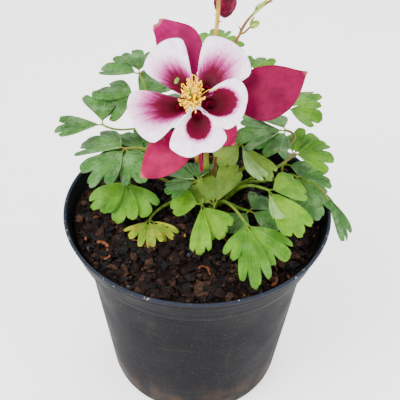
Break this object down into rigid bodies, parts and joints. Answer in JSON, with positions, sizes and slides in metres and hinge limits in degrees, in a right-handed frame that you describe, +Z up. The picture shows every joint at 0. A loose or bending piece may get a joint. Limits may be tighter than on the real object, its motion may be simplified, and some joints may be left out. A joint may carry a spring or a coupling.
{
  "type": "potted columbine",
  "caption": "Low clump of ternate leaves with an open two-tone spurred bloom, a nodding bud and a budding spray, growing in a filled round nursery pot.",
  "frame": {"origin": "centre of the pot's flat underside", "axes": "+Z up along the pot's axis, -Y toward the plant's front, where the open bloom faces, +X to the right seen from the front"},
  "size_m": [0.144, 0.1452, 0.2116],
  "materials": {
    "black_plastic": "moulded satin black, lightly scuffed",
    "potting_mix": "moist bark-based potting mix",
    "rootstock": "rough brown",
    "leaf_green": "soft matte green",
    "petal_white": "soft white",
    "sepal_crimson": "velvety crimson",
    "stamen_yellow": "powdery yellow",
    "stem_tan": "downy tan green",
    "stem_olive": "downy straw",
    "bud_crimson": "velvety dark crimson",
    "spray_green": "downy brownish green"
  },
  "bodies": {
    "root": {"bloom_stem": "stem_tan", "bud": "bud_crimson", "bud_stem": "stem_olive", "crown": "rootstock", "leaf_back": "leaf_green", "leaf_back_high": "leaf_green", "leaf_back_left": "leaf_green", "leaf_back_low": "leaf_green", "leaf_back_right": "leaf_green", "leaf_centre": "leaf_green", "leaf_centre_left": "leaf_green", "leaf_centre_right": "leaf_green", "leaf_front": "leaf_green", "leaf_front_left": "leaf_green", "leaf_front_right": "leaf_green", "leaf_front_right_low": "leaf_green", "leaf_inner_back": "leaf_green", "leaf_left": "leaf_green", "leaf_left_back": "leaf_green", "leaf_left_inner": "leaf_green", "leaf_left_low": "leaf_green", "leaf_right": "leaf_green", "leaf_right_back": "leaf_green", "leaf_right_high": "leaf_green", "leaf_right_low": "leaf_green", "petal_bottom": "petal_white", "petal_left": "petal_white", "petal_right": "petal_white", "petal_top_left": "petal_white", "petal_top_right": "petal_white", "pot": "black_plastic", "potting_mix": "potting_mix", "sepal_bottom_left": "sepal_crimson", "sepal_bottom_right": "sepal_crimson", "sepal_left": "sepal_crimson", "sepal_right": "sepal_crimson", "sepal_top": "sepal_crimson", "spray_stem": "spray_green", "stamens": "stamen_yellow"}
  },
  "joints": []
}
